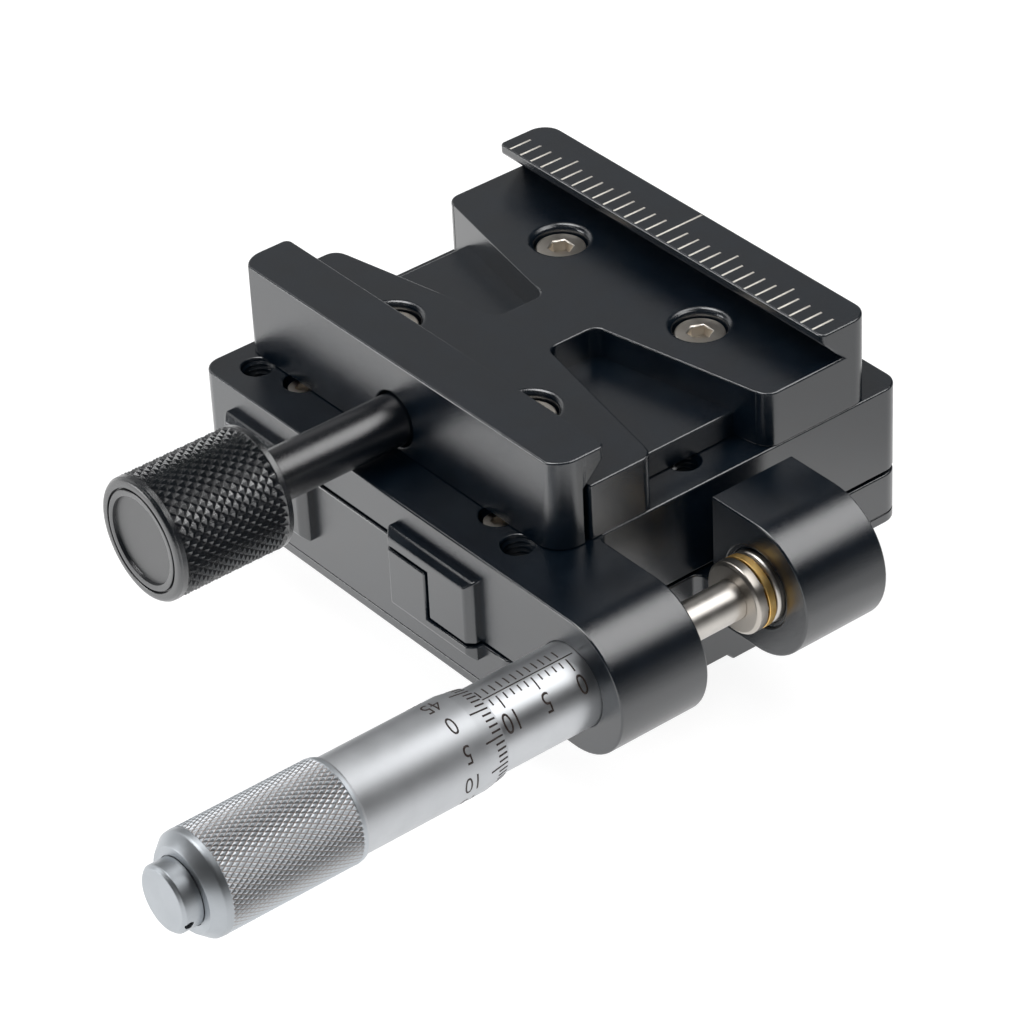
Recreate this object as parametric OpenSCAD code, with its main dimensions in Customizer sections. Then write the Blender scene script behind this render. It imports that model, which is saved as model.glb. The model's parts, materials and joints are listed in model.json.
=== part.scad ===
// Macro focusing rail: a crossed-roller slide moved by a micrometer head,
// with a dovetail clamp on top and a dovetail foot with a tripod thread below.
// X runs along the clamp jaws, Y along the travel, Z up.
// The origin is the centre of the foot's bottom face.

/* [Body] */
// Width of the stage across the travel
body_w = 60; // [52:1:70]
// Length of the stage along the travel
body_l = 60; // [56:1:72]
// Radius of the stage's upright corners
corner_r = 2.6; // [1:0.1:4]
// Height of the base block up to its shoulders
shoulder_h = 5.7; // [4.5:0.1:8]
// Height of the tongue above the shoulders
tongue_h = 6.5; // [6.4:0.1:8]
// Gap between the base block and the table
split_gap = 0.5; // [0.3:0.05:0.8]
// Thickness of the table over the tongue
table_t = 5.3; // [4.5:0.1:8]
// Thickness of the bottom plate
plate_t = 1.3; // [1:0.1:2.5]

/* [Guides] */
// Distance of each roller line from the middle
guide_x = 16; // [14.5:0.1:17]
// Height of a guide rail
guide_h = 6; // [5.6:0.1:6.2]
// Width of one guide rail
guide_w = 5.7; // [5:0.1:6]
// Gap between an inner and an outer guide rail
guide_gap = 0.6; // [0.5:0.05:0.8]
// Diameter of a crossed roller
roller_d = 2; // [1.6:0.1:2.2]
// Rollers in each cage
roller_count = 13; // [7:2:15]
// Distance between rollers in a cage
roller_pitch = 2.8; // [2.6:0.1:3]
// Thickness of a cage strip
cage_t = 0.3; // [0.2:0.05:0.35]
// Height of the raised pads that close the guide pockets
pad_out = 1.8; // [1.2:0.1:2.5]
// Slope at the edge of a pad
pad_slope = 0.85; // [0.4:0.05:1.2]
// Width of a pad
pad_w = 15.8; // [14:0.1:17]

/* [Arms] */
// Distance of the spindle from the middle
axis_x = 40.2; // [39:0.1:44]
// Radius of the round end of both arms
lobe_r = 8.8; // [7.8:0.1:9.2]
// Thickness of the arm that holds the micrometer sleeve
front_lobe_t = 12.7; // [11:0.1:14]
// Thickness of the arm that holds the thrust bearing
rear_lobe_t = 12.4; // [11:0.1:14]
// Distance of the rear arm's front face in front of the middle
rear_lobe_y = 2.4; // [1:0.1:4]
// Gap between the table's side and the rear arm
lobe_gap = 2.6; // [2:0.1:4]
// Fillet where an arm leaves its block
arm_fillet = 1.2; // [0.6:0.1:2]

/* [Micrometer] */
// Diameter of the spindle
spindle_d = 5; // [4:0.1:5.6]
// Diameter of the sleeve
sleeve_d = 10.5; // [9.8:0.1:11]
// Length of sleeve that shows between the arm and the thimble
sleeve_show = 13.5; // [12:0.1:16]
// Length of sleeve inside the thimble
sleeve_hidden = 12; // [11.5:0.1:14]
// Diameter of the thimble's barrel
thimble_d = 11.9; // [11.5:0.1:12.4]
// Diameter of the thimble's edge at the scale
thimble_tip_d = 11; // [10.8:0.1:11.3]
// Length of the thimble's bevel
bevel_l = 2.9; // [2:0.1:4]
// Length of the thimble's barrel behind the bevel
barrel_l = 17; // [14:0.1:20]
// Diameter of the knurled grip
grip_d = 12.9; // [12.5:0.1:14]
// Length of the knurled grip
grip_l = 19.4; // [16:0.1:22]
// Length of the bevel at the end of the grip
grip_bevel = 1.3; // [0.6:0.1:1.6]
// Diameter of the end cap
cap_d = 8.2; // [7:0.1:9]
// Length of the end cap
cap_l = 2.6; // [2:0.1:4]
// Radial clearance of the spindle and the thimble on the sleeve
run_gap = 0.05; // [0.02:0.01:0.08]

/* [Thrust bearing] */
// Diameter of the washers and the ball cage
race_d = 9.2; // [8.4:0.1:9.6]
// Thickness of the collar on the spindle
collar_t = 1.5; // [1.2:0.1:2]
// Diameter of a bearing ball
ball_d = 1.5; // [1.2:0.1:1.6]
// Balls in the cage
ball_count = 9; // [5:1:9]
// Thickness of the brass ball cage
ball_cage_t = 1; // [0.7:0.1:1.1]
// Thickness of the rear washer
race_t = 1.2; // [1:0.1:1.8]
// How far the rear washer stands in front of the arm
race_show = 0.6; // [0.3:0.1:0.9]

/* [Clamp] */
// Thickness of the clamp plate
clamp_t = 7.5; // [6.5:0.1:9]
// Height of the jaws above the clamp plate
jaw_h = 4.5; // [4.2:0.1:5.5]
// Height of the upright lip of a jaw
lip_h = 1.1; // [0.8:0.1:1.5]
// Undercut of a jaw at the clamp plate
undercut = 3.4; // [2.8:0.1:3.8]
// Width of the channel between the two lips
channel_w = 32.9; // [32:0.1:34]
// Thickness of the fixed jaw at its top
fixed_jaw_t = 7.75; // [7:0.05:9]
// Thickness of the moving jaw at its top
jaw_t = 7.35; // [6.8:0.05:8]
// Gap between the moving jaw and the clamp plate
jaw_gap = 0.8; // [0.7:0.05:1.2]
// How far the clamp plate stands back from the stage's rear face
clamp_back = 5; // [4.5:0.1:6]
// Height of the moving jaw above the table
jaw_clear = 0.16; // [0.12:0.02:0.4]
// Depth of the shallow part of the side cut-outs
pocket_h = 4; // [3:0.1:5]
// How far the shallow part stands back from the side
pocket_back = 5; // [4:0.1:6]
// Distance of a cut-out's inner wall from the middle
notch_x = 4.8; // [4.4:0.1:6]
// Width of a cut-out at its inner wall
notch_in_w = 7.8; // [7:0.1:9]
// Width of a cut-out at the side
notch_out_w = 17.4; // [15:0.1:18]

/* [Knob] */
// Diameter of the clamping knob
knob_d = 15.6; // [14:0.1:18]
// Length of the clamping knob
knob_l = 16.4; // [14:0.1:20]
// Length of bare shank between the jaw and the knob
shank_show = 19.9; // [16:0.1:24]
// Diameter of the shank
shank_d = 6.5; // [6:0.1:7]
// Diameter of the clamping screw's thread
screw_d = 5; // [4:0.5:5]
// Height of the clamping screw below the jaw's top
screw_drop = 8; // [7.6:0.1:8.4]

/* [Foot] */
// Height of the dovetail foot
foot_h = 8.3; // [8:0.1:10]
// Greatest width of the dovetail
foot_w = 38; // [36:0.5:40]
// Width of the dovetail's neck
foot_neck = 31.6; // [30:0.1:32]
// Height of the dovetail's upright edge
foot_edge = 2; // [1.5:0.1:2.5]
// Depth of the channel along the foot's bottom
foot_groove_h = 1; // [0.5:0.1:1.5]
// Width of the channel along the foot's bottom
foot_groove_w = 5.7; // [5:0.1:7]
// Diameter of the tripod thread
tripod_d = 6.35; // [5:0.05:9.6]
// Depth of the tripod thread
tripod_depth = 6.5; // [5:0.1:7]

/* [Table holes] */
// Distance between the table's threaded holes
hole_pitch = 25; // [24:0.5:26]
// Diameter of a threaded hole
hole_d = 4; // [3:0.5:5]
// Depth of a threaded hole
hole_depth = 8; // [6:0.5:9]

/* [Hidden] */
$fn = 64;

// One overrun for every cut
over = 0.2;
// Clearance of a screw in a plain hole
screw_gap = 0.2;
// Share of a head's width that its hex socket takes, and of its height
hex_share = 0.5;
hex_depth_share = 0.55;

// Levels, from the bottom up
z_plate = foot_h;
z_base = z_plate + plate_t;
z_shoulder = z_base + shoulder_h;
z_leg = z_shoulder + split_gap;
z_tongue = z_shoulder + tongue_h;
z_roof = z_tongue + split_gap;
z_table = z_roof + table_t;
z_clamp = z_table + clamp_t;
z_jaw = z_clamp + jaw_h;

// Guides: both rails of a pair share one height
rail_in_x = guide_x - guide_gap / 2;
rail_out_x = guide_x + guide_gap / 2;
rail_z = z_tongue - guide_h;
roller_z = z_tongue - guide_h / 2;
roller_l_share = 0.94;
roller_l = roller_d * roller_l_share;
roller_gap = 0.08;
groove_side = roller_d + 2 * roller_gap;
guide_screw_d = 2;
guide_head_d = 3.6;
guide_head_h = 1.6;
guide_head_drop = 0.8;
guide_screw_spread = 22.9;
// The recess round a guide screw's head is wider than the head
guide_bore_d = 4.6;
guide_screw_y = [for (k = [-1, 0, 1]) k * guide_screw_spread];
guide_screw_out = 2.8;
guide_screw_x = guide_x + guide_screw_out;
inner_screw_x = guide_x - guide_screw_out;
inner_thread_l = 4;
outer_thread_l = 3.2;

// Cages
cage_end = 1;
cage_l = roller_count * roller_pitch + 2 * cage_end;
cage_h_share = 0.8;
cage_h = guide_h * cage_h_share;
window_gap = 0.1;
window_l = roller_d + 2 * window_gap;
window_h = sqrt(2) * groove_side;
roller_y = [for (k = [0:roller_count - 1]) (k - (roller_count - 1) / 2) * roller_pitch];

// Pads over the ends of the guides
pad_over = 2.1;
pad_under = 2;
pad_top = z_roof + pad_over;
pad_bottom = z_shoulder - pad_under;
pad_x0 = guide_x - pad_w / 2;
pad_x1 = guide_x + pad_w / 2;
pad_y0 = -body_l / 2 - pad_out;
pad_y1 = -body_l / 2 + over;

// Arms
axis_z = z_table - lobe_r;
arm_x = body_w / 2 + lobe_gap;
front_lobe_y = -body_l / 2;
front_lobe_back = front_lobe_y + front_lobe_t;
rear_lobe_front = -rear_lobe_y;
rear_lobe_back = rear_lobe_front + rear_lobe_t;

// Micrometer, measured along Y
thimble_tip_y = front_lobe_y - sleeve_show;
sleeve_end_y = thimble_tip_y - sleeve_hidden;
barrel_y = thimble_tip_y - bevel_l;
grip_y = barrel_y - barrel_l;
grip_end_y = grip_y - grip_l;
thimble_end_y = grip_end_y - grip_bevel;
thimble_wall = 5.4;
grip_edge = 0.35;
nut_l = 3.5;
nut_back = 0.4;
spindle_in = 1;
spindle_root_y = thimble_end_y + spindle_in;
cap_edge = 0.4;
cap_stem_d = 3;
cap_hole_d = 1.1;
cap_hole_turn = 112;
cap_hole_in = 1.8;
set_screw_d = 3;
set_screw_drop = 0.6;
set_screw_gap = 0.1;

// Thrust bearing, measured along Y
race_y = rear_lobe_front - race_show;
collar_back_y = race_y - ball_d;
collar_y = collar_back_y - collar_t;
collar_bevel = 0.35;
ball_circle = (spindle_d + race_d) / 4;
ball_y = race_y - ball_d / 2;
ball_gap = 0.05;
cage_wall_gap = 0.1;
journal_gap = 0.05;
race_fit = 0.1;
race_ring_w = 0.6;
race_ring_h = 0.35;
end_nut_d = 8.6;
end_nut_h = 3;
end_nut_drop = 0.6;
end_nut_gap = 0.4;
end_nut_lift = 0.1;
end_nut_y = rear_lobe_back - end_nut_drop;

// Clamp
clamp_y1 = body_l / 2 - clamp_back;
fixed_lip_y = clamp_y1 - fixed_jaw_t;
jaw_lip_y = fixed_lip_y - channel_w;
jaw_back_y = jaw_lip_y - undercut;
clamp_y0 = jaw_back_y + jaw_gap;
jaw_front_y = jaw_lip_y - jaw_t;
jaw_lean = 0.35;
jaw_foot_y = jaw_front_y - jaw_lean;
jaw_bottom = z_table + jaw_clear;
jaw_corner_r = 3.4;
jaw_back_r = 0.9;
clamp_corner_r = 2.7;
clamp_front_r = 0.4;
lip_corner_r = 0.8;
notch_r = 1.6;
mouth_r = 2;
clamp_screw_x = 13;
clamp_screw_back = 12;
clamp_screw_front = 5.25;
clamp_screw_y = [clamp_y1 - clamp_screw_back, clamp_y0 + clamp_screw_front];
clamp_screw_d = 3;
clamp_head_d = 6.2;
clamp_head_h = 2.6;
clamp_bore_d = 6.7;
clamp_bore_rim = 0.5;
clamp_head_drop = 1;
clamp_thread_l = 4.4;
pin_x = 21;
pin_d = 4;
pin_gap = 0.05;
pin_in = 3.4;
pin_out = 7.2;
pin_bore_l = 9;
spring_x = 7.6;
spring_d = 2.8;
spring_bore_l = 7;
spring_end_gap = 1;
spring_gap = 0.3;
spring_core_share = 0.6;

// Knob
screw_z = z_jaw - screw_drop;
shank_seat = 2.4;
shank_gap = 0.3;
shank_end_y = jaw_foot_y + shank_seat;
knob_y1 = jaw_foot_y - shank_show;
knob_y0 = knob_y1 - knob_l;
knob_edge = 0.4;
knob_dish_d = 11;
knob_dish_h = 1.1;
knob_ring_w = 0.6;
knob_ring_h = 0.5;
disc_gap = 0.05;
disc_h = 0.6;
screw_in = 12;
screw_y0 = knob_y1 - screw_in;
thread_gap = 0.06;
screw_bore_l = 15;
screw_reach = 12;

// Foot
foot_chamfer = 0.6;
foot_slope_h = (foot_w - foot_neck) / 2;
foot_screw_x = 22;
foot_screw_y = 9;
foot_screw_d = 4;
foot_head_d = 7;
foot_head_h = 3.6;
foot_head_drop = 0.6;
foot_head_gap = 0.4;
foot_screw_in = 4;
tripod_land = 8;

// Plan of a block with rounded upright corners
module rounded_plan(w, l, r) {
    square([w - 2 * r, l], center = true);
    square([w, l - 2 * r], center = true);
    for (sx = [-1, 1], sy = [-1, 1])
        translate([sx * (w / 2 - r), sy * (l / 2 - r)]) circle(r = r);
}

// Upright block from z0 to z1 on a rounded plan
module block(w, l, r, z0, z1) {
    translate([0, 0, z0]) linear_extrude(z1 - z0) rounded_plan(w, l, r);
}

// Box between two corners
module span(low, high) {
    translate(low) cube(high - low);
}

// A shape drawn in X and Z, run from y0 to y1
module along_y(y0, y1) {
    translate([0, y1, 0]) rotate([90, 0, 0]) linear_extrude(y1 - y0) children();
}

// A shape drawn in Y and Z, run from x0 to x1
module along_x(x0, x1) {
    translate([x0, 0, 0]) rotate([90, 0, 90]) linear_extrude(x1 - x0) children();
}

// Round bar along Y
module bar_y(d, y0, y1, x = 0, z = 0) {
    translate([x, y0, z]) rotate([-90, 0, 0]) cylinder(d = d, h = y1 - y0);
}

// Turned shape along Y, from points of radius and y
module turned(points, x, z) {
    translate([x, 0, z]) rotate([-90, 0, 0]) rotate_extrude() polygon(points);
}

module mirrored_sides() {
    children();
    mirror([1, 0, 0]) children();
}

// Socket-head screw, head upward, with the seat of its head at the origin
module socket_screw(d, head_d, head_h, l) {
    difference() {
        union() {
            cylinder(d = head_d, h = head_h);
            translate([0, 0, -l]) cylinder(d = d, h = l + over);
        }
        translate([0, 0, head_h * (1 - hex_depth_share)])
            cylinder(d = head_d * hex_share, h = head_h, $fn = 6);
    }
}

// One arm: a flat root that ends in a round lobe
module arm_profile(x0, z0) {
    intersection() {
        translate([x0, z0]) square([axis_x + lobe_r - x0, z_table - z0]);
        union() {
            translate([axis_x, axis_z]) circle(r = lobe_r);
            translate([x0, axis_z - lobe_r]) square([axis_x - x0, 2 * lobe_r]);
        }
    }
}

// Fillet in plan between a side at x and an arm face at y, filling toward dy
module plan_fillet(x, y, dy, z0, z1) {
    r = arm_fillet;
    translate([x, y, z0]) linear_extrude(z1 - z0) difference() {
        translate([-over, min(0, dy * r) - (dy < 0 ? 0 : over)]) square([r + over, r + over]);
        translate([r, dy * r]) circle(r = r);
    }
}

// Raised pad with sloped edges over the front end of one guide
module pad_blank() {
    s = pad_slope;
    intersection() {
        translate([0, 0, pad_bottom]) linear_extrude(pad_top - pad_bottom)
            polygon([[pad_x0 + s, pad_y0], [pad_x1 - s, pad_y0], [pad_x1, pad_y0 + s],
                [pad_x1, pad_y1], [pad_x0, pad_y1], [pad_x0, pad_y0 + s]]);
        along_x(pad_x0, pad_x1)
            polygon([[pad_y0, pad_bottom + s], [pad_y0 + s, pad_bottom], [pad_y1, pad_bottom],
                [pad_y1, pad_top], [pad_y0 + s, pad_top], [pad_y0, pad_top - s]]);
    }
}

// The table's share of a pad, over and outside the guide
module pad_upper_region() {
    along_y(pad_y0 - over, pad_y1)
        polygon([[pad_x0 - over, z_roof], [rail_out_x, z_roof], [rail_out_x, z_leg],
            [pad_x1 + over, z_leg], [pad_x1 + over, pad_top + over],
            [pad_x0 - over, pad_top + over]]);
}

// The base's share of a pad, inside and under the guide
module pad_lower_region() {
    along_y(pad_y0 - over, pad_y1)
        polygon([[pad_x0 - over, pad_bottom - over], [pad_x1 + over, pad_bottom - over],
            [pad_x1 + over, z_shoulder], [rail_in_x, z_shoulder], [rail_in_x, z_tongue],
            [pad_x0 - over, z_tongue]]);
}

module all_pads(upper) {
    for (k = [0, 1], m = [0, 1])
        mirror([k, 0, 0]) mirror([0, m, 0]) intersection() {
            pad_blank();
            if (upper) pad_upper_region();
            else pad_lower_region();
        }
}

// Base block: shoulders, tongue, rear arm and the pads on it
module base_block() {
    color("#26282b") difference() {
        union() {
            block(body_w, body_l, corner_r, z_base, z_shoulder);
            span([-rail_in_x, -body_l / 2, z_shoulder - over],
                [rail_in_x, body_l / 2, z_tongue]);
            all_pads(false);
            along_y(rear_lobe_front, rear_lobe_back) {
                arm_profile(arm_x, axis_z - lobe_r);
                translate([body_w / 2 - over, axis_z - lobe_r])
                    square([lobe_gap + 2 * over, z_shoulder - axis_z + lobe_r]);
            }
            plan_fillet(body_w / 2, rear_lobe_front, -1, axis_z - lobe_r, z_shoulder);
            plan_fillet(body_w / 2, rear_lobe_back, 1, axis_z - lobe_r, z_shoulder);
        }
        // Pockets of the inner guides, closed by the pads
        mirrored_sides() span([rail_in_x - guide_w, -body_l / 2, rail_z],
            [rail_in_x + over, body_l / 2, z_tongue + over]);
        // Threads of the inner guides' screws
        for (side = [-1, 1], y = guide_screw_y)
            translate([side * inner_screw_x, y, z_shoulder - inner_thread_l])
                cylinder(d = guide_screw_d, h = inner_thread_l + tongue_h);
        // Threads of the foot's screws
        for (sx = [-1, 1], sy = [-1, 1])
            translate([sx * foot_screw_x, sy * foot_screw_y, z_base - over])
                cylinder(d = foot_screw_d, h = foot_screw_in + over);
        // Bearing seat, journal bore and the end nut's recess
        bar_y(race_d + 2 * race_fit, race_y, race_y + race_t, axis_x, axis_z);
        bar_y(race_d + 2 * race_ring_w, rear_lobe_front - over,
            rear_lobe_front + race_ring_h, axis_x, axis_z);
        bar_y(spindle_d + 2 * journal_gap, rear_lobe_front - over, rear_lobe_back + over,
            axis_x, axis_z);
        bar_y(end_nut_d + 2 * end_nut_gap, end_nut_y - end_nut_h, rear_lobe_back + over,
            axis_x, axis_z);
    }
}

// Thin plate that closes the base from below
module bottom_plate() {
    color("#303236") difference() {
        block(body_w, body_l, corner_r, z_plate, z_base);
        for (sx = [-1, 1], sy = [-1, 1])
            translate([sx * foot_screw_x, sy * foot_screw_y, z_plate - over])
                cylinder(d = foot_screw_d + 2 * screw_gap, h = plate_t + 2 * over);
    }
}

// Dovetail foot with the tripod thread
module dovetail_foot() {
    half = foot_w / 2;
    neck = foot_neck / 2;
    groove = foot_groove_w / 2;
    color("#26282b") difference() {
        along_x(-body_w / 2, body_w / 2)
            polygon([[-half + foot_chamfer, 0], [half - foot_chamfer, 0],
                [half, foot_chamfer], [half, foot_edge],
                [neck, foot_edge + foot_slope_h], [neck, foot_h],
                [-neck, foot_h], [-neck, foot_edge + foot_slope_h],
                [-half, foot_edge], [-half, foot_chamfer]]);
        // Channel along the bottom, stopped short of the tripod thread
        mirrored_sides() along_x(tripod_land, body_w / 2 + over)
            polygon([[-groove - over, -over], [groove + over, -over],
                [groove - foot_groove_h, foot_groove_h],
                [-groove + foot_groove_h, foot_groove_h]]);
        translate([0, 0, -over]) cylinder(d = tripod_d, h = tripod_depth + over);
        for (sx = [-1, 1], sy = [-1, 1]) translate([sx * foot_screw_x, sy * foot_screw_y, 0]) {
            translate([0, 0, -over])
                cylinder(d = foot_head_d + foot_head_gap, h = foot_head_h + foot_head_drop + over);
            cylinder(d = foot_screw_d + 2 * screw_gap, h = foot_h + over);
        }
    }
}

// Four screws that hold the foot and the bottom plate to the base
module foot_screws() {
    seat = foot_head_h + foot_head_drop;
    color("#3a3c40") for (sx = [-1, 1], sy = [-1, 1])
        translate([sx * foot_screw_x, sy * foot_screw_y, seat]) mirror([0, 0, 1])
            socket_screw(foot_screw_d, foot_head_d, foot_head_h, z_base - seat + foot_screw_in);
}

// Square channel that gives a rail its V groove
module roller_groove(l) {
    translate([guide_x, 0, roller_z]) rotate([0, 45, 0])
        cube([groove_side, l + 2 * over, groove_side], center = true);
}

// Inner guide rail of the right side
module inner_guide() {
    color("#8f9296") difference() {
        span([rail_in_x - guide_w, -body_l / 2, rail_z], [rail_in_x, body_l / 2, z_tongue]);
        roller_groove(body_l);
        for (y = guide_screw_y) translate([inner_screw_x, y, rail_z]) {
            translate([0, 0, guide_h - guide_head_h - guide_head_drop])
                cylinder(d = guide_head_d + screw_gap, h = guide_h);
            translate([0, 0, -over])
                cylinder(d = guide_screw_d + screw_gap, h = guide_h + over);
        }
    }
}
module inner_guide_right() { inner_guide(); }
module inner_guide_left() { mirror([1, 0, 0]) inner_guide(); }

// Screws that hold the inner guides to the tongue
module inner_guide_screws() {
    seat = z_tongue - guide_head_h - guide_head_drop;
    color("#b9b4aa") for (side = [-1, 1], y = guide_screw_y)
        translate([side * inner_screw_x, y, seat])
            socket_screw(guide_screw_d, guide_head_d, guide_head_h,
                seat - (z_shoulder - inner_thread_l));
}

// Outer guide rail of the right side
module outer_guide() {
    color("#8f9296") difference() {
        span([rail_out_x, -body_l / 2, rail_z], [rail_out_x + guide_w, body_l / 2, z_tongue]);
        roller_groove(body_l);
        for (y = guide_screw_y) translate([guide_screw_x, y, z_tongue - outer_thread_l])
            cylinder(d = guide_screw_d, h = outer_thread_l + over);
    }
}
module outer_guide_right() { outer_guide(); }
module outer_guide_left() { mirror([1, 0, 0]) outer_guide(); }

// Screws that hold the outer guides, let into the table's top
module outer_guide_screws() {
    seat = z_table - guide_head_h - guide_head_drop;
    color("#b9b4aa") for (side = [-1, 1], y = guide_screw_y)
        translate([side * guide_screw_x, y, seat])
            socket_screw(guide_screw_d, guide_head_d, guide_head_h,
                seat - (z_tongue - outer_thread_l));
}

// Strip with a window for each roller
module roller_cage() {
    color("#a58b4f") difference() {
        span([guide_x - cage_t / 2, -cage_l / 2, roller_z - cage_h / 2],
            [guide_x + cage_t / 2, cage_l / 2, roller_z + cage_h / 2]);
        for (y = roller_y)
            span([guide_x - cage_t, y - window_l / 2, roller_z - window_h / 2],
                [guide_x + cage_t, y + window_l / 2, roller_z + window_h / 2]);
    }
}
module roller_cage_right() { roller_cage(); }
module roller_cage_left() { mirror([1, 0, 0]) roller_cage(); }

// Rollers, each turned a quarter from the next
module rollers() {
    color("#c9c9c6") for (k = [0:roller_count - 1])
        translate([guide_x, roller_y[k], roller_z]) rotate([0, k % 2 == 0 ? 45 : -45, 0])
            cylinder(d = roller_d, h = roller_l, center = true, $fn = 24);
}
module rollers_right() { rollers(); }
module rollers_left() { mirror([1, 0, 0]) rollers(); }

// Rear washer of the thrust bearing, pressed into the rear arm
module thrust_washer() {
    r = race_d / 2;
    color("#c9c4ba") turned([[spindle_d / 2 + cage_wall_gap, race_y],
        [r - collar_bevel, race_y], [r, race_y + collar_bevel], [r, race_y + race_t],
        [spindle_d / 2 + cage_wall_gap, race_y + race_t]], axis_x, axis_z);
}

// Table: top plate, two legs, front arm and the pads on it
module table_block() {
    inner_wall = rail_out_x + guide_w;
    color("#26282b") difference() {
        union() {
            block(body_w, body_l, corner_r, z_leg, z_table);
            all_pads(true);
            // Square front corner that runs into the arm
            span([body_w / 2 - 2 * corner_r, front_lobe_y, z_leg],
                [body_w / 2, front_lobe_y + 2 * corner_r, z_table]);
            along_y(front_lobe_y, front_lobe_back) {
                arm_profile(arm_x, axis_z - lobe_r);
                translate([body_w / 2 - over, z_leg])
                    square([lobe_gap + 2 * over, z_table - z_leg]);
            }
            plan_fillet(body_w / 2, front_lobe_back, 1, z_leg, z_table);
        }
        // Channel over the tongue
        span([-rail_out_x, -body_l / 2 - pad_out - over, z_leg - over],
            [rail_out_x, body_l / 2 + pad_out + over, z_roof]);
        // Pockets of the outer guides, closed by the pads
        mirrored_sides() span([rail_out_x - over, -body_l / 2, z_leg - over],
            [inner_wall, body_l / 2, z_tongue]);
        // Bore of the micrometer sleeve and of its set screw
        bar_y(sleeve_d, front_lobe_y - over, front_lobe_back + over, axis_x, axis_z);
        translate([axis_x, front_lobe_y + front_lobe_t / 2, axis_z - lobe_r - over])
            cylinder(d = set_screw_d, h = lobe_r);
        // Threaded holes for fastening to the table
        for (sx = [-1, 1], sy = [-1, 0, 1])
            translate([sx * hole_pitch, sy * hole_pitch, z_table - hole_depth])
                cylinder(d = hole_d, h = hole_depth + over);
        // Holes of the outer guides' screws
        for (side = [-1, 1], y = guide_screw_y) translate([side * guide_screw_x, y, 0]) {
            translate([0, 0, z_table - guide_head_h - guide_head_drop])
                cylinder(d = guide_bore_d, h = guide_head_h + guide_head_drop + over);
            translate([0, 0, z_tongue - over])
                cylinder(d = guide_screw_d + screw_gap, h = z_table - z_tongue);
        }
        // Threads of the clamp plate's screws
        for (sx = [-1, 1], y = clamp_screw_y)
            translate([sx * clamp_screw_x, y, z_table - clamp_thread_l])
                cylinder(d = clamp_screw_d, h = clamp_thread_l + over);
    }
}

// Sleeve with the scale, fixed in the front arm
module micrometer_sleeve() {
    color("#b9bbbe") difference() {
        bar_y(sleeve_d, sleeve_end_y, front_lobe_back, axis_x, axis_z);
        bar_y(spindle_d + 2 * run_gap, sleeve_end_y - over, front_lobe_back + over,
            axis_x, axis_z);
    }
}

// Adjusting nut on the inner end of the sleeve
module sleeve_nut() {
    nut_d = sleeve_d - 2 * nut_back;
    color("#8f9296") difference() {
        bar_y(nut_d, sleeve_end_y - nut_l, sleeve_end_y, axis_x, axis_z);
        bar_y(spindle_d + 2 * run_gap, sleeve_end_y - nut_l - over, sleeve_end_y + over,
            axis_x, axis_z);
    }
}

// Set screw under the front arm that pins the sleeve
module sleeve_set_screw() {
    top = axis_z - sleeve_d / 2;
    bottom = axis_z - lobe_r + set_screw_drop;
    color("#3a3c40") translate([axis_x, front_lobe_y + front_lobe_t / 2, 0]) difference() {
        translate([0, 0, bottom]) cylinder(d = set_screw_d, h = top - bottom - set_screw_gap);
        translate([0, 0, bottom - over])
            cylinder(d = set_screw_d * hex_share, h = (top - bottom) * hex_depth_share, $fn = 6);
    }
}

// Spindle with its threaded part inside the sleeve
module spindle() {
    color("#c9c4ba") bar_y(spindle_d, spindle_root_y, end_nut_y, axis_x, axis_z);
}

// Collar on the spindle that carries the front of the thrust bearing
module spindle_collar() {
    r = race_d / 2;
    color("#c9c4ba") turned([[spindle_d / 2, collar_y], [r - collar_bevel, collar_y],
        [r, collar_y + collar_bevel], [r, collar_back_y], [spindle_d / 2, collar_back_y]],
        axis_x, axis_z);
}

// Nut on the spindle's far end, let into the rear arm
module spindle_end_nut() {
    color("#8f9296") difference() {
        bar_y(end_nut_d, end_nut_y - end_nut_h + end_nut_lift, end_nut_y, axis_x, axis_z);
        bar_y(spindle_d, end_nut_y - end_nut_h, end_nut_y + over, axis_x, axis_z);
        for (a = [0, 180]) translate([axis_x, end_nut_y, axis_z]) rotate([0, a, 0])
            translate([(spindle_d + end_nut_d) / 4, 0, 0]) rotate([90, 0, 0])
                cylinder(d = cap_hole_d, h = end_nut_h / 2);
    }
}

// Thimble: bevelled edge, barrel, grip and the web that holds the spindle
module thimble() {
    bore_r = sleeve_d / 2 + run_gap;
    color("#a9abae") turned([
        [bore_r, thimble_tip_y], [thimble_tip_d / 2, thimble_tip_y],
        [thimble_d / 2, barrel_y], [thimble_d / 2, grip_y],
        [grip_d / 2 - grip_edge, grip_y], [grip_d / 2, grip_y - grip_edge],
        [grip_d / 2, grip_end_y], [grip_d / 2 - grip_bevel, thimble_end_y],
        [cap_stem_d / 2, thimble_end_y], [cap_stem_d / 2, spindle_root_y],
        [spindle_d / 2, spindle_root_y], [spindle_d / 2, thimble_end_y + thimble_wall],
        [bore_r, thimble_end_y + thimble_wall]], axis_x, axis_z);
}

// Cap screwed into the end of the thimble
module thimble_cap() {
    r = cap_d / 2;
    y0 = thimble_end_y - cap_l;
    color("#a9abae") difference() {
        turned([[0, y0], [r - cap_edge, y0], [r, y0 + cap_edge], [r, thimble_end_y],
            [cap_stem_d / 2, thimble_end_y], [cap_stem_d / 2, spindle_root_y],
            [0, spindle_root_y]], axis_x, axis_z);
        translate([axis_x, thimble_end_y - cap_hole_in, axis_z]) rotate([0, cap_hole_turn, 0])
            translate([0, 0, r / 2]) cylinder(d = cap_hole_d, h = r, $fn = 24);
    }
}

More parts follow.
